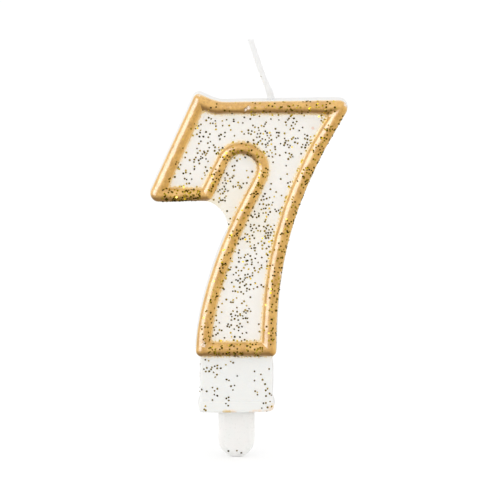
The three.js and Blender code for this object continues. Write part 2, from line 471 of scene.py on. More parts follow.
def edge_paint(g, z):
    """Paint at the base's lower edge: a gold spot, and where it only stains."""
    uneven = g.maths("ADD", z, g.times(g.noise(0.6), 0.8 * MM))
    edge = g.ramp(uneven, 1.5 * MM, 0.7 * MM)
    spot = g.times(edge, g.blotch(*EDGE_SPOT, 0.3, 0.5))
    line = g.times(edge, g.most(*(g.blotch(*patch) for patch in EDGE_LINE)))
    line = g.times(line, g.ramp(g.noise(0.8), 0.38, 0.58, 0.2, 1))
    bleed = g.times(g.blotch(*EDGE_BLEED, 0.7, 0.5), 0.6)
    return g.times(spot, 0.6), g.most(bleed, g.times(line, 0.7))


def wax_material():
    g = Paint("white_wax")
    place = g.add("SeparateXYZ", {0: g.place}).outputs
    y, z = place["Y"], place["Z"]
    foot = g.add("Attribute", attribute_name="foot_distance").outputs["Fac"]
    above = g.ramp(z, BOUNCE_FADE[0] * MM, BOUNCE_FADE[1] * MM, 0.15, 1)
    warm = g.most(*(g.blotch(*patch) for patch in WEB_PATCHES))
    spot, bleed = edge_paint(g, z)
    colour = g.layers(
        g.mix(g.ramp(g.noise(5.0, 3), 0.35, 0.65), WAX_WHITE, WAX_WARM),
        # painted shade: the base, and the walls and the back, darker than the panel
        (g.ramp(z, BASE_FADE[0] * MM, BASE_FADE[1] * MM), SHADED_BASE_WAX),
        (g.ramp(y, WALL_FADE[0] * MM, WALL_FADE[1] * MM), SHADED_WALL_WAX),
        (g.times(warm, 0.4), WEB_TONE),
        # painted reflected light: paler and warmer near the bead's feet, weaker on the base
        (g.times(g.ramp(foot, 1.1, 0.1, 0, 0.65), above), BOUNCE_TONE),
        (g.times(g.blotch(*BLUSH_PATCH), 0.6), BLUSH_TONE),
        (g.times(g.blotch(*STAIN_PATCH), 0.3), STAIN_TONE),
        (bleed, BLEED_TONE),
    )
    gold = g.most(crept_paint(g, foot), spot)
    return g.finish(
        Subsurface_Weight=0.15,
        Subsurface_Scale=0.001,
        Subsurface_Radius=(1.0, 0.8, 0.6),
        Base_Color=g.mix(gold, colour, CREEP_TONE),
        Metallic=g.times(gold, 0.5),
        Roughness=g.ramp(g.noise(0.8, 4, 0.6), 0.3, 0.7, 0.36, 0.5),
        Normal=g.bump(g.maths("ADD", g.noise(0.25, 3, 0.6), g.noise(1.6)), 0.02, 0.4),
    )


PICK_TONES = (0.835, 0.818, 0.8), (0.815, 0.82, 0.8)
COTTON_TONES = (0.8, 0.8, 0.795), (0.775, 0.775, 0.77)
FLOOR_TONES = (0.95, 0.95, 0.95), (0.965, 0.965, 0.965)


def plastic_material():
    g = Paint("pick_plastic")
    flow = g.ramp(g.noise(4.0, 3, 0.6), 0.3, 0.7)
    return g.finish(
        Subsurface_Weight=0.4,
        Subsurface_Scale=0.0015,
        IOR=1.49,
        Subsurface_Radius=(1.0, 1.0, 1.0),
        Base_Color=g.mix(flow, *PICK_TONES),
        Roughness=g.ramp(g.noise(0.6, 3), 0.3, 0.7, 0.26, 0.38),
        Normal=g.bump(g.noise(0.12), 0.006, 0.25),
    )


def cotton_material():
    g = Paint("waxed_cotton")
    wax = g.ramp(g.noise(1.2, 3), 0.4, 0.6)
    return g.finish(
        Subsurface_Weight=0.2,
        Subsurface_Scale=0.0006,
        Subsurface_Radius=(1.0, 0.95, 0.9),
        Base_Color=g.mix(wax, *COTTON_TONES),
        Roughness=g.ramp(wax, 0, 1, 0.42, 0.68),
        Normal=g.bump(g.noise(0.08, 3, 0.65), 0.02, 0.4),
    )


# colours of the darkest to the brightest flakes, a painted reflection: one glitter, made dark or
# bright at random for the light each flake would catch
GLITTER_SHADES = [(0.0, (0.07, 0.045, 0.0)), (0.45, (0.25, 0.16, 0.001))]
GLITTER_SHADES += [(0.7, (0.55, 0.37, 0.015)), (1.0, (0.88, 0.64, 0.12))]


def glitter_material():
    g = Paint("gold_glitter")
    # each flake's tone, painted for the light it would catch
    tone_of_flake = g.add("Attribute", attribute_name="glint_tone").outputs["Fac"]
    grain = g.ramp(g.noise(0.1), 0.3, 0.7, 0.75, 1.1)
    return g.finish(
        Metallic=0.95,
        Base_Color=g.scaled(g.shades(tone_of_flake, GLITTER_SHADES), grain),
        Roughness=g.ramp(g.noise(0.15), 0.3, 0.7, 0.18, 0.38),
    )


def floor_material():
    g = Paint("floor")
    return g.finish(Roughness=0.8, Base_Color=g.mix(g.noise(300.0), *FLOOR_TONES))


GOLD = gold_material()
WAX = wax_material()
PLASTIC = plastic_material()
COTTON = cotton_material()
GLITTER = glitter_material()

# ------------ gold bead

# the bead's section: share of the half width to the right, and of the height off the panel
PROFILE_STEPS = 20
OUTER_FOOT, INNER_SHOULDER = math.radians(84), -math.radians(76)
FRONT = [(math.sin(a), math.cos(a)) for a in np.linspace(OUTER_FOOT, INNER_SHOULDER, PROFILE_STEPS)]
# the inner foot has a small fillet, and the back lies in the wax
FOOT = [(-0.995, 0.12), (-1.02, 0.05), (-1.06, 0.012), (-1.12, -0.015)]
BACK = [(-0.9, -0.06), (0.85, -0.16), (1.012, -0.15)]
PROFILE = FRONT + FOOT + BACK
# what stands higher than this share is uneven: noise by size, strength and seed
UNEVEN_FROM = 0.2
BEAD_NOISES, HEM_NOISE = [(3.5, 0.06, 1), (1.3, 0.06, 2)], (1.3, 0.14, 3)
CHIP_SIZE, CHIP_DEPTH, CHIP_NOISE = 0.45, 0.15, (0.4, 0.3, 6)


def bead_swell(points):
    """How far the bead stands out, less where its top bar is chipped."""
    swell = sum(wander(points, *kind) for kind in BEAD_NOISES)
    for x, z in CHIPS:
        gap = np.hypot(points[:, 0] - x, points[:, 2] - z) / CHIP_SIZE
        swell -= CHIP_DEPTH * smooth_step(1.5 - gap + wander(points, *CHIP_NOISE))
    return swell


def gold_bead():
    rows = []
    for side, rise in PROFILE:
        points = at_depth(PANEL_Y - rise * BEAD_HEIGHT, strand(side))
        if rise > UNEVEN_FROM:
            points[:, 1] -= bead_swell(points)
        if side > 1:
            points[:, 1] += wander(points, *HEM_NOISE)
        rows.append(points)
    faces = ring_faces(len(rows), len(rows[0]), close_rows=True)
    mesh = new_mesh("gold_bead", np.vstack(rows), faces)
    make_piece("gold_bead", mesh, GOLD, "candle", ["gold_outline"])


gold_bead()

# ------------ wax numeral

# the web's free edge, an arc: centre, radius, and from and to in degrees
WEB_CENTRE, WEB_RADIUS, WEB_ARC = np.array([-9.8, 49.3]), 7.5, (73, 1)
# the web starts on the bead's foot right of and below this place, and ends below this height
WEB_START, WEB_END = (-8.4, 57.5), 49.0
# the base's half width, where its sides start, and a height inside the bead's lower bar
BASE_HALF, BASE_TOP, BEAD_BOTTOM = 9.58, 15.2, 17
# the lip's size, its straight side's from and to, its corners' radii, and its edge's rise
LIP_HALF, LIP_TOP, LIP_PROUD = 10.0, 3.0, BODY_HIGH.y - HALF_DEPTH
LIP_SIDE, LIP_CORNERS, LIP_RISE = (2.75, 1.9), (0.8, 1.3), 0.3
# rows of points that let a cap step out to the lip
LIP_ROWS, LIP_STEPS = (2.5, 2.72, 2.94, 3.16), np.arange(-9.4, 9.41, 0.4)
OUTLINE_STEP = 0.4
# a cap's spacing, and shares of it: between rows, and clear of the rim
CAP_SPACING, CAP_ROWS, CAP_CLEAR = 0.6, 0.87, 0.55
# radii of the casting's edges: open in front, under the bead, and at the back
OPEN_EDGE, BEAD_EDGE, BACK_EDGE = 0.45, 0.06, 0.5
EDGE_STEPS, WALL_ROWS, WALL_MARGIN = 4, 10, 0.9
# mould draft: how much wider the back is, and how that is lost in inner corners
DRAFT, DRAFT_LOSS, LEAST_DRAFT = 0.32, 1.6, 0.1
# noise of the faces: size, strength and seed
FACE_NOISES = [(9, 0.05, 4), (2.5, 0.015, 5)]
# behind this depth is the poured back, which sank above the lip
BACK_FROM, SINK, SINK_REACH, SINK_ABOVE = 3, 0.35, 5, 3.3
# bubbles that burst in the back: x, z and radius, and the rings of points that dent
BUBBLES = [(9.5, 76.5, 0.9), (-12.0, 70.2, 0.7), (5.2, 58.0, 0.8)]
BUBBLES += [(-1.2, 41.0, 0.65), (3.9, 29.5, 0.9), (0.8, 20.5, 0.6)]
BUBBLE_DEPTH, BUBBLE_REACH, BUBBLE_RIM = 0.35, 1.15, 0.5
BUBBLE_RINGS, BUBBLE_SIDES = (0.0, 0.35, 0.65, 0.85, 1.0, 1.15), 16
# the wick's straight run in the wax, and its bore
WICK_RADIUS, WICK_CLEARANCE = 0.74, 0.02
WICK_FOOT, WICK_TOP = Vector((0.5, 0, 17.0)), Vector((9.2, 0, 82.9))
WICK_AXIS = (WICK_TOP - WICK_FOOT).normalized()
# wax that crept up the wick: how far out from it, and how high
CREEP = [(0.75, -1.2), (0.75, 0.02), (0.4, 0.12), (0.2, 0.3), (0.1, 0.55)]
# the slot's clearance round the tang, and how far its cutter and the bore's overrun
SLOT_GAP, SLOT_OVERRUN, BORE_OVERRUN = 0.3, 5, 3
ROUND_SIDES = 32


def arc(centre, radius, start, end, count):
    angles = np.radians(np.linspace(start, end, count))
    return np.array(centre) + radius * np.column_stack([np.cos(angles), np.sin(angles)])


def resample(points, step):
    """A closed line's points about step apart, with whatever else its rows hold."""
    closed = np.vstack([points, points[:1]])
    lengths = np.linalg.norm(np.diff(closed, axis=0)[:, :2], axis=1)
    along = np.concatenate([[0], np.cumsum(lengths)])
    s = np.linspace(0, along[-1], round(along[-1] / step), endpoint=False)
    return np.column_stack([np.interp(s, along, column) for column in closed.T])


def base_edge():
    """Down the base's left side, along its lower edge and up its right side."""
    left = [(-BASE_HALF, z) for z in np.linspace(BASE_TOP, LIP_TOP + 0.1, 30)]
    left += [(-LIP_HALF, z) for z in np.linspace(*LIP_SIDE, 4)]
    right = [(-x, z) for x, z in reversed(left)]
    small, large = LIP_CORNERS
    under = [*arc((small - LIP_HALF, small), small, 180, 270, 6), (3.0, 0.0)]
    under += list(arc((LIP_HALF - large, large + LIP_RISE), large, 270, 360, 6))
    return np.array(left + under + right)


def numeral_outline():
    """x, z and front edge radius round the casting, anticlockwise."""
    foot = strand(1.0)

    def first(test, after=-1):
        return next(i for i, (x, z) in enumerate(foot) if i > after and test(x, z))

    web_start = first(lambda x, z: x > WEB_START[0] and z < WEB_START[1])
    web_end = first(lambda x, z: x < 0 and z < WEB_END, web_start)
    base_left = first(lambda x, z: x > -BASE_HALF and z < BEAD_BOTTOM, web_end)
    base_right = first(lambda x, z: x > BASE_HALF, base_left)
    parts = [
        (foot[:web_start], BEAD_EDGE),
        (arc(WEB_CENTRE, WEB_RADIUS, *WEB_ARC, 24), OPEN_EDGE),
        (foot[web_end:base_left], BEAD_EDGE),
        (base_edge(), OPEN_EDGE),
        (foot[base_right:], BEAD_EDGE),
    ]
    outline = np.vstack([np.column_stack([xz, np.full(len(xz), r)]) for xz, r in parts])
    outline = resample(outline, OUTLINE_STEP)
    for _ in range(2):
        outline = (np.roll(outline, 1, 0) + 2 * outline + np.roll(outline, -1, 0)) / 4
    return outline


def draft_share(normals):
    """1 where the outline is straight or turns outward, less in its inner corners."""
    ahead, behind = np.roll(normals, -4, 0), np.roll(normals, 4, 0)
    turn = behind[:, 0] * ahead[:, 1] - behind[:, 1] * ahead[:, 0]
    share = np.clip(1 + DRAFT_LOSS * turn, LEAST_DRAFT, 1)
    for _ in range(6):
        share = np.minimum(share, (np.roll(share, 1) + 2 * share + np.roll(share, -1)) / 4)
    return share


def flat_tree(line):
    """A search tree of x, z places."""
    tree = KDTree(len(line))
    for i, (x, z) in enumerate(line):
        tree.insert((x, z, 0), i)
    tree.balance()
    return tree


def inside(points, ring):
    """Whether each point is inside a ring."""
    x, z = points[:, :1], points[:, 1:]
    x0, z0 = ring[:, 0], ring[:, 1]
    x1, z1 = np.roll(x0, -1), np.roll(z0, -1)
    crosses = (z0 > z) != (z1 > z)
    at = x0 + (z - z0) * (x1 - x0) / np.where(z1 == z0, 1, z1 - z0)
    return (crosses & (x < at)).sum(1) % 2 == 1


def cap(ring, extra):
    """Triangles over a closed ring, with a grid of points inside it: the new points, and faces
    that count the ring's own points first."""
    low, high = ring.min(0), ring.max(0)
    grid = []
    for k, z in enumerate(np.arange(low[1], high[1], CAP_SPACING * CAP_ROWS)):
        columns = np.arange(low[0], high[0], CAP_SPACING)
        grid += [(x + (k % 2) * CAP_SPACING / 2, z) for x in columns]
    grid = np.array(grid + list(extra))
    tree = flat_tree(ring)
    clear = np.array([tree.find((x, z, 0))[2] > CAP_SPACING * CAP_CLEAR for x, z in grid])
    grid = grid[inside(grid, ring) & clear]
    points = [Vector(p) for p in np.vstack([ring, grid])]
    found = geometry.delaunay_2d_cdt(points, [], [list(range(len(ring)))], 1, 1e-7)
    origin = [source[0] for source in found[3]]
    return grid, [tuple(origin[v] for v in face) for face in found[2]]


def plate(loops, extra=(), back_extra=()):
    """A closed solid from matching loops, front to back, with a cap at each end."""
    n = len(loops[0])
    vertices, faces = list(loops), ring_faces(len(loops), n)
    for loop in (0, len(loops) - 1):
        ring = loops[loop][:, [0, 2]]
        grid, triangles = cap(ring, [*extra, *back_extra] if loop else extra)
        start = sum(map(len, vertices)) - n
        faces += [tuple(loop * n + v if v < n else start + v for v in t) for t in triangles]
        y = loops[loop][:, 1]
        vertices.append(at_depth(y.max() if loop else y.min(), grid))
    return np.vstack(vertices), faces


def solid_object(name, vertices, faces):
    mesh = new_mesh(name, vertices, faces)
    clean(mesh, weld=0.002)
    return add_object(name, mesh)


def combine(base, operation, vertices, faces):
    """Joins a solid to base or cuts it out."""
    tool = solid_object("tool", vertices, faces)
    modifier = base.modifiers.new("combine", "BOOLEAN")
    modifier.object, modifier.operation, modifier.solver = tool, operation, "MANIFOLD"
    evaluated = base.evaluated_get(bpy.context.evaluated_depsgraph_get())
    mesh = bpy.data.meshes.new_from_object(evaluated)
    base.modifiers.clear()
    base.data = mesh
    bpy.data.objects.remove(tool)


def lathe(profile, origin, axis):
    """A closed solid of revolution from (radius, height) points."""
    turn = Vector(axis).to_track_quat("Z", "Y").to_matrix()
    vertices = []
    for radius, height in profile:
        for k in range(ROUND_SIDES):
            a = 2 * math.pi * k / ROUND_SIDES
            spoke = Vector((radius * math.cos(a), radius * math.sin(a), height))
            vertices.append(Vector(origin) + turn @ spoke)
    faces = ring_faces(len(profile), ROUND_SIDES)
    last = (len(profile) - 1) * ROUND_SIDES
    faces += [tuple(range(ROUND_SIDES)), tuple(range(last, last + ROUND_SIDES))]
    return vertices, faces


def block(low, high):
    """A closed box from its lowest to its highest corner."""
    faces = [(0, 1, 3, 2), (4, 6, 7, 5), (0, 4, 5, 1), (2, 3, 7, 6), (0, 2, 6, 4), (1, 5, 7, 3)]
    return list(itertools.product(*zip(low, high))), faces


def casting_loops(outline):
    """The outline at each depth, front to back, inset where the edges are round."""
    line, edge = outline[:, :2], outline[:, 2]
    angles = [math.radians(90 * k / EDGE_STEPS) for k in range(EDGE_STEPS + 1)]
    wall = HALF_DEPTH - WALL_MARGIN
    rows = [(edge * (1 - math.sin(a)), -HALF_DEPTH + edge * (1 - math.cos(a))) for a in angles]
    rows += [(0, y) for y in np.linspace(-wall, wall, WALL_ROWS)]
    for a in angles:
        rows.append((BACK_EDGE * (1 - math.cos(a)), HALF_DEPTH - BACK_EDGE * (1 - math.sin(a))))
    normals = right_of(units(np.roll(line, -1, 0) - np.roll(line, 1, 0)))
    flare = DRAFT * draft_share(normals)
    loops = []
    for inset, y in rows:
        out = flare * (y + HALF_DEPTH) / (2 * HALF_DEPTH) - inset
        loops.append(at_depth(y, line + normals * out[:, None]))
    return loops


def bubble_points():
    angles = np.linspace(0, 2 * math.pi, BUBBLE_SIDES + 1)[:-1]
    points = []
    for x, z, radius in BUBBLES:
        for ring in BUBBLE_RINGS:
            reach = radius * ring
            points += [(x + reach * math.cos(a), z + reach * math.sin(a)) for a in angles]
    return points


def shape_faces(vertices, outline):
    """Brings out the lip and makes the faces uneven, with a sunken, bubbled back."""
    x, y, z = vertices.T
    depth = HALF_DEPTH + LIP_PROUD * smooth_step((LIP_TOP + 0.1 - z) / 0.35)
    y = y * depth / HALF_DEPTH
    back = vertices[:, 1] > BACK_FROM
    face = smooth_step((np.abs(y) - BACK_FROM) / 0.9)
    y = y + face * sum(wander(vertices, *kind) for kind in FACE_NOISES) * np.where(y > 0, 2, 1)
    from_edge = edge_distance(np.column_stack([x, z]), outline[:, :2]) / SINK_REACH
    y = np.where(back, y - SINK * smooth_step(np.clip(from_edge, 0, 1)) * (z > SINK_ABOVE), y)
    for bx, bz, radius in BUBBLES:
        near = BUBBLE_REACH - np.hypot(x - bx, z - bz) / radius
        y = y - np.where(back, BUBBLE_DEPTH * radius * smooth_step(near / BUBBLE_RIM), 0)
    return np.column_stack([x, y, z])


def numeral_body():
    outline = numeral_outline()
    lip_points = [(x, z) for z in LIP_ROWS for x in LIP_STEPS]
    vertices, faces = plate(casting_loops(outline), lip_points, bubble_points())
    body = solid_object("wax_numeral_build", shape_faces(vertices, outline), faces)
    creep = [(WICK_RADIUS + out, height) for out, height in CREEP]
    combine(body, "UNION", *lathe(creep, WICK_TOP, WICK_AXIS))
    start = WICK_FOOT - WICK_AXIS * WICK_CLEARANCE
    length = (WICK_TOP - WICK_FOOT).length
    bore = [(WICK_RADIUS + WICK_CLEARANCE, h) for h in (0, length / 2, length + BORE_OVERRUN)]
    combine(body, "DIFFERENCE", *lathe(bore, start, WICK_AXIS))
    low = (PICK_LOW.x - SLOT_GAP, PICK_LOW.y - SLOT_GAP, -SLOT_OVERRUN)
    high = (PICK_HIGH.x + SLOT_GAP, PICK_HIGH.y + SLOT_GAP, PICK_HIGH.z + SLOT_GAP)
    combine(body, "DIFFERENCE", *block(low, high))
    mesh = body.data
    bpy.data.objects.remove(body)
    make_piece("wax_numeral", mesh, WAX, "candle", ["numeral_body"], sharp=40)
    mark_feet(mesh)


def edge_distance(points, line):
    """How far each x, z place is from a closed line."""
    tree = flat_tree(resample(line, 0.2))
    return np.array([tree.find((x, z, 0))[2] for x, z in points])


def mark_feet(mesh):
    """Stores how far each vertex is from the bead's feet, in millimetres."""
    points = np.array([v.co for v in mesh.vertices]) / MM
    outer, inner = (edge_distance(points[:, [0, 2]], strand(side)) for side in (1.0, -1.06))
    distance = np.minimum(outer, inner) + np.maximum(points[:, 1] - PANEL_Y, 0)
    attribute = mesh.attributes.new("foot_distance", "FLOAT", "POINT")
    attribute.data.foreach_set("value", distance.astype(np.float32))


numeral_body()

# ------------ pick

# the chamfer at the tang's top, and how fast it shrinks with the inset
PICK_CHAMFER, CHAMFER_SHRINK = 1.0, 0.586
TIP_STEPS, SIDE_STEPS = 40, 50


def pick_loop(inset, y):
    """The pick's edge at one depth."""
    half, top = PICK_HIGH.x - inset, PICK_HIGH.z - inset
    round_z, cut = PICK_LOW.z + PICK_HIGH.x, PICK_CHAMFER - CHAMFER_SHRINK * inset
    line = list(arc((0, round_z), half, 180, 360, TIP_STEPS))
    line += [(half, z) for z in np.linspace(round_z, top - cut, SIDE_STEPS)[1:]]
    line += [(half - cut, top), (0, top), (cut - half, top)]
    line += [(-half, z) for z in np.linspace(top - cut, round_z, SIDE_STEPS)[:-1]]
    return at_depth(y, line)


def pick_blade():
    depth, bevel, rim, seam, rounding = PICK_HIGH.y, 1.35, 0.6, 0.03, 0.12
    front = [
        (bevel + rounding, -depth),
        (bevel, -depth + 0.01),
        (bevel - rounding, -depth + 0.06),
        (bevel / 2, -(depth + rim) / 2),
        (rounding, -rim - 0.03),
        (rounding / 4, -rim + 0.05),
        (0.0, -rim + 0.15),
        (0.0, -seam * 2),
        (-seam, -seam / 2),
    ]
    rows = front + [(inset, -y) for inset, y in reversed(front)]
    mesh = new_mesh("pick_blade", *plate([pick_loop(*row) for row in rows]))
    make_piece("pick_blade", mesh, PLASTIC, "pick", ["pick"])


pick_blade()

# ------------ wick

# x and z of the places on the wick's free tail
TAIL = [(9.2, 82.9), (9.12, 83.8), (8.73, 85.2), (7.6, 88.0)]
TAIL += [(6.3, 91.4), (4.9, 95.6), (3.72, 99.1)]
# rows in the wax, between two places of the tail, and over which the braid comes out
RUN_ROWS, TAIL_ROWS, EMERGING_ROWS, WICK_SIDES = 40, 24, 12, 40
BRAID_STRANDS, BRAID_PITCH, BRAID_RELIEF = 4, 3.2, 0.035
FRAY, FRAY_SCALE, TIP_SLANT = 0.04, 0.9, 0.35
# wax makes the free wick thicker at its root, up to this height
ROOT_SWELL, ROOT_TOP, ROOT_FADE = 0.2, 87.2, 2.4


def catmull(points, count):
    """A smooth line through x, z points, with count steps between two of them."""
    points = [Vector((x, 0, z)) for x, z in points]
    ends = [points[0] * 2 - points[1], *points, points[-1] * 2 - points[-2]]
    line = []
    for a, b, c, d in zip(ends, ends[1:], ends[2:], ends[3:]):
        for t in (k / count for k in range(count)):
            square = (2 * a - 5 * b + 4 * c - d) * t**2
            line.append(0.5 * (2 * b + (c - a) * t + square + (3 * b - a - 3 * c + d) * t**3))
    return line + [points[-1]]


def braid(angle, along):
    """How high the upper of two crossing strands stands, up to 1."""
    turns = math.pi * along / BRAID_PITCH * 2
    right = math.sin(BRAID_STRANDS * angle / 2 + turns)
    left = math.sin(BRAID_STRANDS * angle / 2 - turns)
    return right**2 if right * left > 0 else left**2


def wick():
    run = [WICK_FOOT.lerp(WICK_TOP, k / RUN_ROWS) for k in range(RUN_ROWS)]
    line = run + catmull(TAIL, TAIL_ROWS)
    vertices, along = [], 0.0
    across = Vector((0, 1, 0))
    for i, point in enumerate(line):
        ahead = (line[min(i + 1, len(line) - 1)] - line[max(i - 1, 0)]).normalized()
        side = ahead.cross(across).normalized()
        along += (point - line[i - 1]).length if i else 0
        free = max(0.0, min(1.0, (i - len(run)) / EMERGING_ROWS))
        frayed = noise.noise(point * FRAY_SCALE) * FRAY
        swollen = ROOT_SWELL * smooth_step((ROOT_TOP - point.z) / ROOT_FADE)
        for k in range(WICK_SIDES):
            a = 2 * math.pi * k / WICK_SIDES
            relief = BRAID_RELIEF * (braid(a, along) - 0.75)
            radius = WICK_RADIUS + free * (relief + frayed + swollen)
            offset = side * math.cos(a) * radius + across * math.sin(a) * radius
            # the tip is cut at a slant
            slant = ahead * (offset.dot(side) * TIP_SLANT if i == len(line) - 1 else 0)
            vertices.append(point + offset + slant)
    faces = ring_faces(len(line), WICK_SIDES)
    for start in (0, (len(line) - 1) * WICK_SIDES):
        ring = [start + k for k in range(WICK_SIDES)]
        centre = len(vertices)
        vertices.append(sum((vertices[v] for v in ring), Vector()) / WICK_SIDES)
        faces += [(v, after, centre) for v, after in zip(ring, ring[1:] + ring[:1])]
    mesh = new_mesh("wick", vertices, faces)
    piece = make_piece("wick", mesh, COTTON, None, ["wick_core", "wick_tail"])
    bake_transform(piece)


wick()

# ------------ glitter

# a flake's radius and thickness, and how its radius varies
FLAKE, FLAKE_THICK, FLAKE_SIZES = 0.262, 0.025, (0.85, 1.2)
# how flakes lean, in radians: most a little, and a share of them more
LEAN, ON_EDGE, EDGE_LEAN = 0.26, 0.02, (0.45, 0.75)
# flakes closer than this touch, which only a share of them may
FLAKE_SPACING, TOUCHING = 0.52, 0.1
# shares of the places that hold a clump or a chain of flakes, and how these lie
CLUMPED, CLUMP_SPREAD, CHAINED, CHAIN_STEP, CHAIN_TURN = 0.14, 0.7, 0.03, 0.66, 0.9
# tones, painted for the light each flake would catch, and the share of middling ones where some
# flakes are bright and where none is
DARK, MIDDLING, BRIGHT = (0, 0.5), (0.5, 0.8), (0.85, 1)
MIDDLING_SHARE, DULL_SHARE = 0.3, 0.1
RNG = random.Random(71)
# where the glitter fell thickest: x, z, spread across, spread up, weight
PANEL_DRIFTS = [
    (9.0, 73.2, 6.0, 4.0, 0.8),
    (-8.2, 71.4, 2.0, 4.0, 0.9),
    (-12.2, 64.4, 2.4, 2.2, 0.56),
    (-3.8, 59.4, 2.4, 6.0, 0.75),
    (6.0, 49.8, 2.7, 6.5, 1.7),
    (0.6, 32.5, 2.5, 7.5, 0.77),
    (-1.6, 22.6, 2.3, 2.7, 1.05),
]
BASE_DRIFTS = [
    (-8.7, 7.8, 0.6, 3.4, 1.0),
    (-8.6, 13.6, 0.8, 1.0, 0.6),
    (-6.6, 7.0, 1.3, 5.0, 0.25),
    (-2.0, 8.5, 0.9, 4.5, 0.55),
    (-0.4, 9.0, 0.5, 3.8, 0.45),
    (8.0, 3.4, 1.0, 2.6, 1.0),
    (6.6, 8.0, 1.3, 3.6, 0.45),
]


def density(x, z, drifts, least):
    thick = 0
    for at_x, at_z, across, up, weight in drifts:
        thick += weight * math.exp(-(((x - at_x) / across) ** 2 + ((z - at_z) / up) ** 2) / 2)
    return least + thick


def scatter(count, ring, drifts, least):
    """count places inside a ring, some in clumps and chains."""
    low, high = ring.min(0), ring.max(0)
    found = []
    while len(found) < count:
        x, z = RNG.uniform(low[0], high[0]), RNG.uniform(low[1], high[1])
        if RNG.random() > density(x, z, drifts, least):
            continue
        group = [(x, z)]
        kind = RNG.random()
        if kind < CLUMPED:
            for _ in range(RNG.randint(2, 5)):
                group.append((x + RNG.gauss(0, CLUMP_SPREAD), z + RNG.gauss(0, CLUMP_SPREAD)))
        elif kind < CLUMPED + CHAINED:
            heading = RNG.uniform(0, math.pi)
            for _ in range(RNG.randint(3, 4) - 1):
                heading += RNG.gauss(0, CHAIN_TURN)
                x, z = x + CHAIN_STEP * math.cos(heading), z + CHAIN_STEP * math.sin(heading)
                group.append((x, z))
        for place, kept in zip(group, inside(np.array(group), ring)):
            apart = min((math.dist(place, other) for other in found), default=math.inf)
            if kept and (apart > FLAKE_SPACING or RNG.random() < TOUCHING):
                found.append(place)
    return found[:count]


def surface_of(name):
    mesh = bpy.data.objects[name].data
    corners = [v.co / MM for v in mesh.vertices]
    return BVHTree.FromPolygons(corners, [p.vertices for p in mesh.polygons])


SURFACES = [surface_of(name) for name in ("gold_bead", "wax_numeral", "pick_blade", "wick")]
# the faces of a flake: its two sides, then its edge
FLAKE_FACES = [tuple(range(6)), tuple(range(6, 12)), *ring_faces(2, 6)]


def glint_tone(bright):
    """How bright one flake looks, painted at random: bright ones as glints, dark ones as dark
    reflections.
    """
    kind = RNG.random()
    if kind < bright:
        return RNG.uniform(*BRIGHT)
    middling = MIDDLING_SHARE if bright else DULL_SHARE
    return RNG.uniform(*(MIDDLING if kind < bright + middling else DARK))


def flake(point, normal):
    """The corners of a thin six-sided plate on a surface."""
    normal = Vector(normal).normalized()
    lean = RNG.gauss(0, LEAN) if RNG.random() > ON_EDGE else RNG.uniform(*EDGE_LEAN)
    turn = Matrix.Rotation(RNG.uniform(0, 2 * math.pi), 3, normal)
    side = turn @ normal.orthogonal().normalized()
    tilted = Matrix.Rotation(lean, 3, side) @ normal
    across = tilted.cross(side)
    size = FLAKE * RNG.uniform(*FLAKE_SIZES)
    lift = FLAKE_THICK * 0.5 + size * abs(math.sin(lean)) * 0.5
    centre = Vector(point) + normal * lift
    corners = []
    for level in (-0.5, 0.5):
        for a in (math.pi * k / 3 for k in range(6)):
            edge = side * math.cos(a) * size + across * math.sin(a) * size
            corners.append(centre + edge + tilted * level * FLAKE_THICK)
    return corners


def flakes(name, places, body, bright=0.0):
    """A flake on the surface nearest to each place, a share of them painted bright as glints."""
    vertices, faces, tones = [], [], []
    for place in places:
        hits = (surface.find_nearest(place) for surface in SURFACES)
        point, normal, _, _ = min(hits, key=lambda hit: hit[3])
        faces += [tuple(len(vertices) + v for v in face) for face in FLAKE_FACES]
        vertices += flake(point, normal)
        tones += [glint_tone(bright)] * 12
    mesh = new_mesh(name, vertices, faces)
    mesh.attributes.new("glint_tone", "FLOAT", "POINT").data.foreach_set("value", tones)
    clean(mesh)
    mesh.materials.append(GLITTER)
    piece = add_object(name, mesh)
    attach(piece, body)


# the bead's foot round the arch over the web lies between these x and z
ARCH_LOW, ARCH_HIGH = (-8.5, 48), (6, 72)
# how thick the glitter lies at each arm's start and end
ARM_GLITTER = [(0.25, 0.3), (3.0, 3.0), (1.9, 1.1), (1.9, 2.2), (1.6, 2.2), (2.4, 0.25)]
BEAD_FLAKES = 860
# bright flecks along the inner feet: count, arm, and from and to along it
FOOT_DRIFTS = [(14, 4, 0.3, 0.62), (10, 4, 0.7, 0.97), (8, 2, 0.05, 0.3), (10, 2, 0.55, 0.95)]
FOOT_DRIFTS += [(7, 1, 0.1, 0.9), (8, 5, 0.05, 0.7), (5, 0, 0.2, 0.9), (5, 3, 0.1, 0.9)]
TOP_CORNER_FLECKS = [(22.6, 78.6), (23.3, 78.2), (21.8, 79.0), (22.9, 77.4)]
BASE_FACE = np.array([(-9.4, 0.4), (9.4, 0.4), (9.4, 14.7), (-9.4, 14.7)])
# flakes on the base's left wall (y, z), the pick's tip (x, z) and the wick
WALL_FLECKS = [(-2.9, 12.9), (-1.2, 10.2), (0.9, 6.1), (-2.2, 5.4), (1.6, 9.0)]
PICK_FLECKS = [(-2.2, -10.9), (0.1, -10.7), (1.3, -11.4)]
WICK_FLECK = (6.6, -0.6, 89.4)


def panel_glitter():
    foot = strand(1.25)
    # between the arch's outer foot and the web's free edge
    arch = foot[((foot > ARCH_LOW) & (foot < ARCH_HIGH)).all(axis=1)]
    web = np.vstack([arch, arc(WEB_CENTRE, WEB_RADIUS + 0.5, 5, 70, 12)])
    places = scatter(460, strand(-1.15), PANEL_DRIFTS, least=0.08)
    places += scatter(52, web, PANEL_DRIFTS, least=0.1)
    flakes("glitter_on_panel", at_depth(PANEL_Y, places), "candle", bright=0.015)


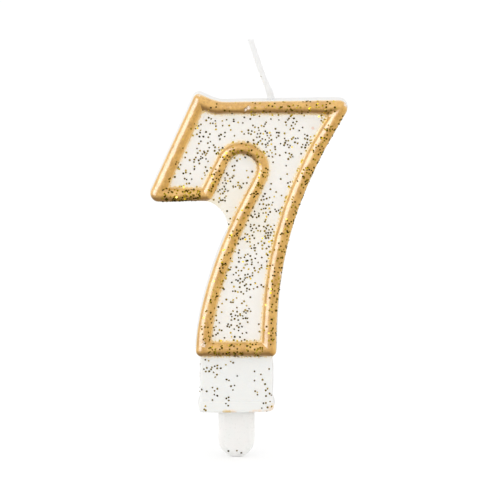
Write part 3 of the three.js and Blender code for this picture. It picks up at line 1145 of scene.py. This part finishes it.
def on_arm(arm, share, side):
    """The place at a share of an arm's length, and the way to its right."""
    row = min(int(share * arm.count), arm.count)
    line = arm.strand(side, 1.5, 1.5)
    ahead = unit(line[min(row + 1, arm.count)] - line[max(row - 1, 0)])
    return line[row], right_of(ahead)


def bead_glitter():
    weights = [sum(pair) / 2 * arm.length for pair, arm in zip(ARM_GLITTER, ARMS)]
    places = []
    while len(places) < BEAD_FLAKES:
        index = RNG.choices(range(len(ARMS)), weights)[0]
        share = RNG.random()
        start, end = ARM_GLITTER[index]
        if RNG.random() * max(start, end) > start + (end - start) * share:
            continue
        angle = RNG.uniform(-1.25, 1.45)
        (x, z), side = on_arm(ARMS[index], share, math.sin(angle))
        # more of it stuck to the slopes that face right and down
        if RNG.random() < (0.6 * side[1] - 1.1 * side[0]) * math.sin(angle):
            continue
        places.append((x, PANEL_Y - math.cos(angle) * BEAD_HEIGHT, z))
    flakes("glitter_on_bead", places, "candle", bright=0.12)


def foot_glitter():
    """Flecks caught in the paint along the inner feet, most of them painted bright as glints."""
    places = []
    for count, index, low, high in FOOT_DRIFTS:
        for _ in range(count):
            reach = 1.13 + abs(RNG.gauss(0, 0.09))
            place, _ = on_arm(ARMS[index], RNG.uniform(low, high), -reach)
            places.append(place)
    places = at_depth(PANEL_Y, places + TOP_CORNER_FLECKS)
    flakes("glitter_at_feet", places, "candle", bright=0.75)


def dull_glitter():
    """What lies on the base, its left wall, the pick's tip and the wick."""
    base = at_depth(-HALF_DEPTH, scatter(62, BASE_FACE, BASE_DRIFTS, least=0.004))
    wall = [(-BASE_HALF - 0.1, y, z) for y, z in WALL_FLECKS]
    flakes("glitter_on_base", [*base, *wall], "candle")
    flakes("glitter_on_pick", at_depth(PICK_LOW.y, PICK_FLECKS), "pick")
    flakes("glitter_on_wick", [WICK_FLECK], "wick_tip")


panel_glitter()
bead_glitter()
foot_glitter()
dull_glitter()

# ------------ studio

FLOOR_REACH = 40000.0
# what the camera sees behind the candle, and the tent's light at the horizon and above
BACKDROP, HORIZON, ZENITH = 1.2, 0.96, 1.18
# what gloss sees of the tent, from straight below to straight above
GLOSS_SKY = [(0.0, 0.16), (0.05, 0.22), (0.165, 0.34), (0.35, 0.54)]
GLOSS_SKY += [(0.45, 0.7), (0.55, 0.8), (0.75, 0.95), (1.0, 1.1)]
# how it differs for matt surfaces in front, on the right and behind: axis, from, to, factor
GLOWS = [("Y", -0.1, -0.9, 1.1), ("X", 0.1, 0.9, 1.12), ("Y", 0.0, 0.7, 0.84)]
# where the lamps and the camera point
LAMP_TARGET, VIEW_TARGET = Vector((0.003, 0, 0.043)), Vector((0.0036, PANEL_Y * MM, 0.0435))


def studio_floor():
    corners = [(-1, -1), (1, -1), (1, 1), (-1, 1)]
    vertices = [(x * FLOOR_REACH, y * FLOOR_REACH, PICK_LOW.z) for x, y in corners]
    mesh = new_mesh("floor", vertices, [(0, 1, 2, 3)])
    mesh.materials.append(floor_material())
    floor = add_object("floor", mesh)
    floor.visible_glossy = False


def look_along(made, direction):
    made.rotation_mode = "QUATERNION"
    made.rotation_quaternion = direction.to_track_quat("-Z", "Y")


def softbox(place, width, height, power):
    light = bpy.data.lights.new("softbox", "AREA")
    light.shape, light.size, light.size_y, light.energy = "RECTANGLE", width, height, power
    made = add_object("softbox", light)
    made.location = place
    look_along(made, LAMP_TARGET - Vector(place))
    return made


def lamps():
    """One in front that only gloss sees, and a weak one behind on the left, which shows the
    relief of the walls and the back."""
    key = softbox((-0.52, -0.49, 0.22), width=0.68, height=0.8, power=5.4)
    key.visible_diffuse = False
    side = softbox((-0.7, 0.3, 0.12), width=0.3, height=0.3, power=1.1)
    side.visible_glossy = False


def tent():
    """A white tent, which gloss sees as darker below."""
    world = bpy.data.worlds.new("studio")
    bpy.context.scene.world = world
    world.use_nodes = True
    g = Graph(world.node_tree)
    direction = g.add("SeparateXYZ", {0: g.add("TexCoord").outputs["Generated"]}).outputs
    height = g.ramp(direction["Z"], -1.0, 1.0, kind="LINEAR")
    seen = g.shades(height, [(at, (v, v, v)) for at, v in GLOSS_SKY])
    gloss = g.scaled(seen, g.ramp(direction["X"], -0.8, 0.8, 1.05, 1.0))
    glow = g.ramp(direction["Z"], 0.0, 1.0, HORIZON, ZENITH, "LINEAR")
    for axis, start, end, factor in GLOWS:
        glow = g.times(glow, g.ramp(direction[axis], start, end, 1.0, factor))
    rays = g.add("LightPath").outputs
    sky = g.mix(rays["Is Glossy Ray"], glow, gloss)
    sky = g.mix(rays["Is Camera Ray"], sky, (BACKDROP,) * 3)
    g.put(world.node_tree.nodes["Background"].inputs["Color"], sky)


def camera():
    elevation, distance, width = math.radians(6.3), 1.2, 0.1325
    data = bpy.data.cameras.new("camera")
    data.sensor_width = 36
    data.lens = data.sensor_width * distance / width
    data.clip_start, data.clip_end = 0.05, 200
    made = add_object("camera", data)
    back = Vector((0, -math.cos(elevation), math.sin(elevation)))
    made.location = VIEW_TARGET + back * distance
    look_along(made, -back)
    bpy.context.scene.camera = made


studio_floor()
lamps()
tent()
camera()
bpy.context.scene.view_settings.view_transform = "Standard"
